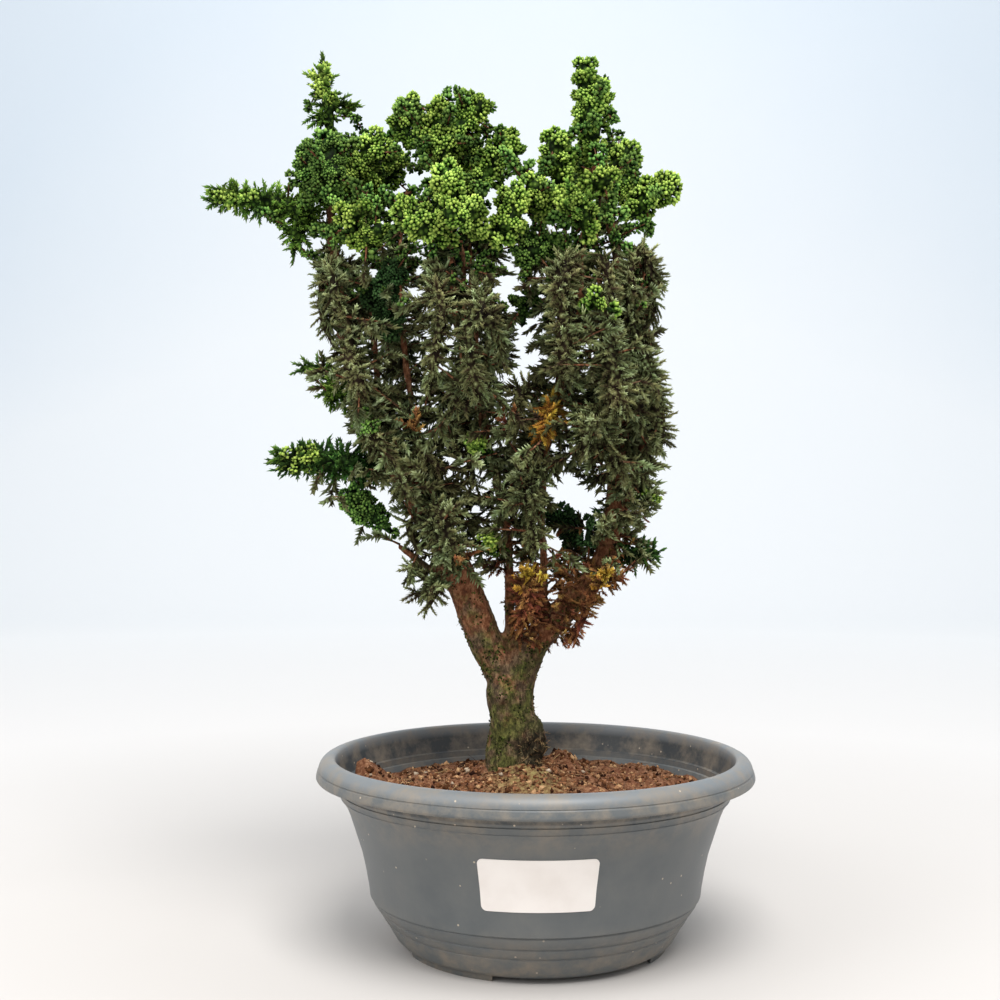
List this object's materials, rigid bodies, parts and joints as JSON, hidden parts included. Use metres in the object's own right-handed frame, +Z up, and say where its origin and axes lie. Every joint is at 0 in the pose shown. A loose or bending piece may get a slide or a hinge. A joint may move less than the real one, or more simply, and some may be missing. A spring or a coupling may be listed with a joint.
{
  "type": "hinoki cypress bonsai",
  "caption": "Potted hinoki cypress bonsai: forked trunk, knobby lime foliage pads above hanging olive sprays, in a round dark grey plastic bowl filled with peat, with a bare label",
  "frame": {"origin": "On the ground, below the middle of the whole plant's box. The bowl's axis stands about 35 mm to its right, seen from the front.", "axes": "+Z up, -Y towards the viewer who sees the label, +X to that viewer's right."},
  "size_m": [0.327, 0.257, 0.5273],
  "materials": {
    "pot_plastic": "satin",
    "peat": "rough",
    "bark": "rough",
    "label_film": "smooth",
    "lime_leaves": "satin",
    "green_leaves": "satin",
    "olive_leaves": "satin",
    "dark_leaves": "satin",
    "gold_leaves": "satin",
    "dead_leaves": "rough"
  },
  "bodies": {
    "root": {"arm_foot": "olive_leaves", "arm_lower": "green_leaves", "arm_upper": "green_leaves", "back_left_column": "olive_leaves", "back_left_low": "olive_leaves", "back_left_top": "lime_leaves", "back_low": "olive_leaves", "back_low_green": "dark_leaves", "back_mid_column": "olive_leaves", "back_mid_low": "olive_leaves", "back_mid_top": "lime_leaves", "back_right_column": "olive_leaves", "back_right_edge": "olive_leaves", "back_right_low": "olive_leaves", "back_right_top": "lime_leaves", "curtain_left": "olive_leaves", "curtain_low": "olive_leaves", "curtain_right": "olive_leaves", "dead_crotch": "dead_leaves", "dead_right": "dead_leaves", "gold": "gold_leaves", "green_high": "green_leaves", "green_mid": "green_leaves", "inner_high": "dark_leaves", "inner_mid": "olive_leaves", "label": "label_film", "left_body": "green_leaves", "left_column": "olive_leaves", "left_diagonal_high": "olive_leaves", "left_diagonal_low": "olive_leaves", "left_front": "lime_leaves", "left_inner": "olive_leaves", "left_lime_cluster": "lime_leaves", "left_spire": "lime_leaves", "left_tuft": "lime_leaves", "left_wing": "lime_leaves", "low_green": "green_leaves", "low_hang": "olive_leaves", "mid_green": "green_leaves", "mid_hang": "olive_leaves", "mid_pad": "lime_leaves", "mid_top": "lime_leaves", "mid_top_right": "lime_leaves", "pot": "pot_plastic", "right_column_edge": "olive_leaves", "right_column_left": "olive_leaves", "right_column_low": "olive_leaves", "right_column_mid": "olive_leaves", "right_front_left": "lime_leaves", "right_front_lime": "lime_leaves", "right_lime_spot": "lime_leaves", "right_lobe_far": "lime_leaves", "right_low_bright": "lime_leaves", "right_low_dark": "dark_leaves", "right_low_spray": "green_leaves", "right_shoulder": "lime_leaves", "right_spire": "lime_leaves", "soil": "peat", "wood": "bark"}
  },
  "joints": []
}
